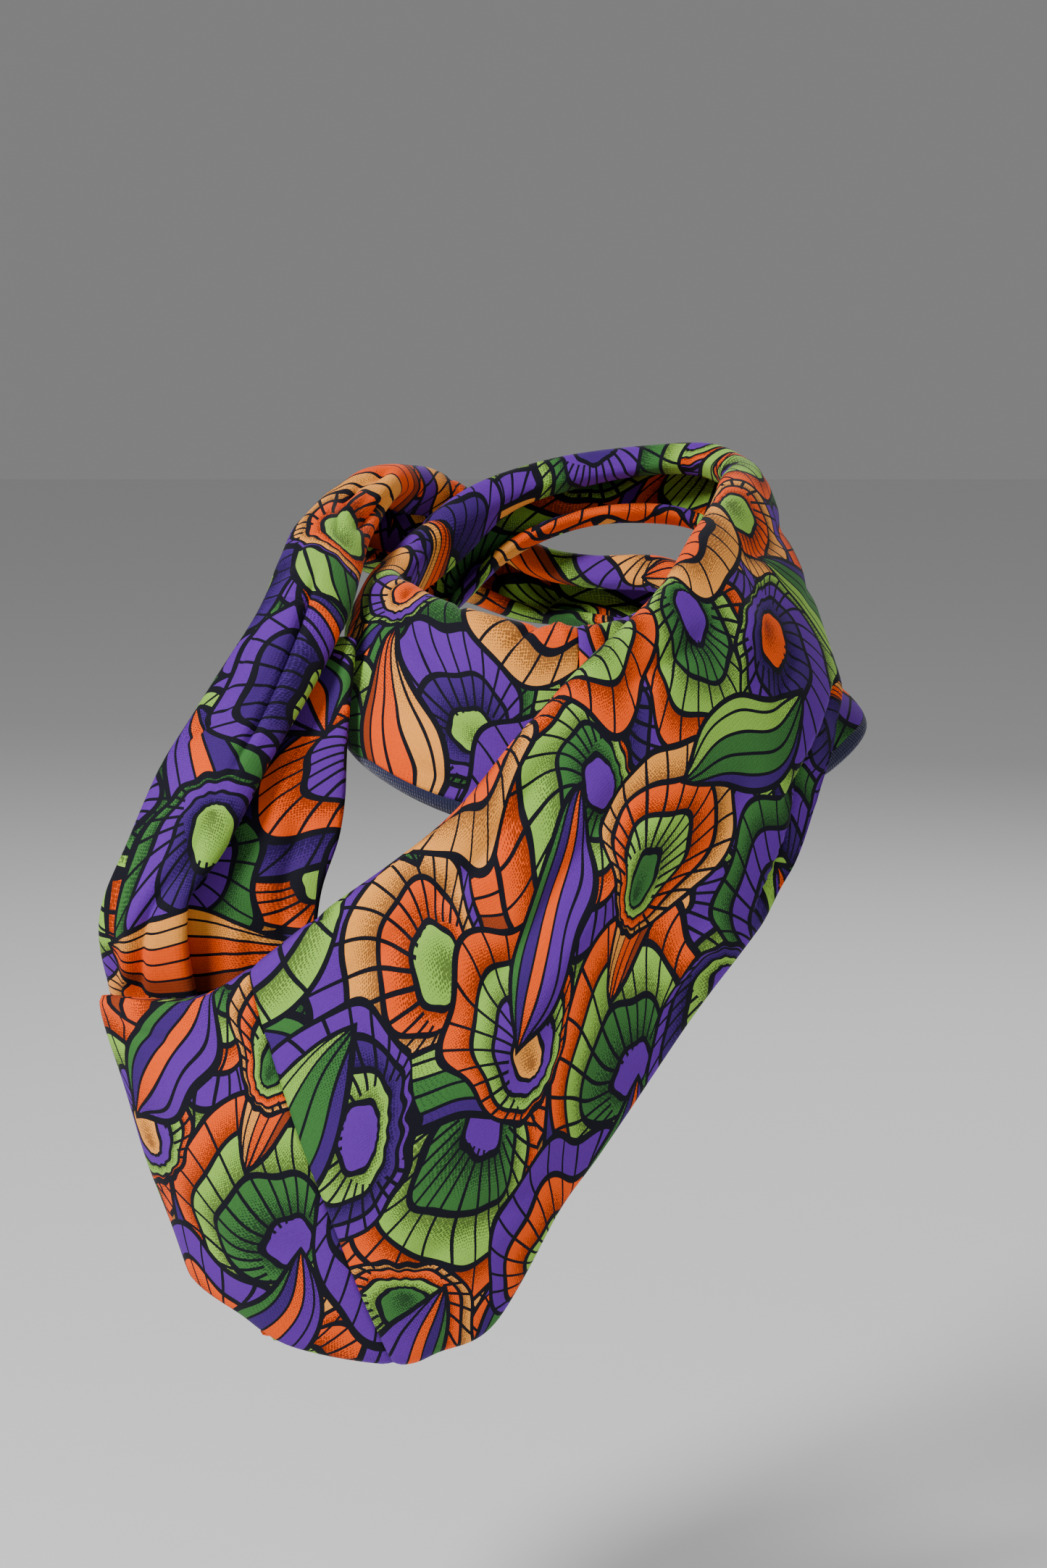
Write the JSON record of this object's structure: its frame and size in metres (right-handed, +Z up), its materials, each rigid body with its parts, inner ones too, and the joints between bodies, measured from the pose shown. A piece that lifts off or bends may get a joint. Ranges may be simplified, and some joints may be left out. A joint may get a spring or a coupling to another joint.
{
  "type": "infinity scarf",
  "caption": "Printed infinity scarf in its worn form, a closed loop of cloth wound twice round the neck with a pocket of drape at the front and navy lining at the collar.",
  "frame": {"origin": "the nape, inside the upper turn, where the neck carries the scarf", "axes": "+Z up, -Y to the front of the worn scarf, +X to the right of the picture"},
  "size_m": [0.2464, 0.2087, 0.2788],
  "materials": {
    "print": "matte jersey with a printed pattern",
    "lining": "matte brushed jersey"
  },
  "bodies": {
    "root": {"front_left": "print", "front_right": "print", "nape_upper": "print", "collar_left": "print", "collar_left_lining": "lining", "collar_right": "print", "collar_right_lining": "lining", "nape_lower": "print", "left_shoulder": "print", "left_fall": "print"}
  },
  "joints": []
}
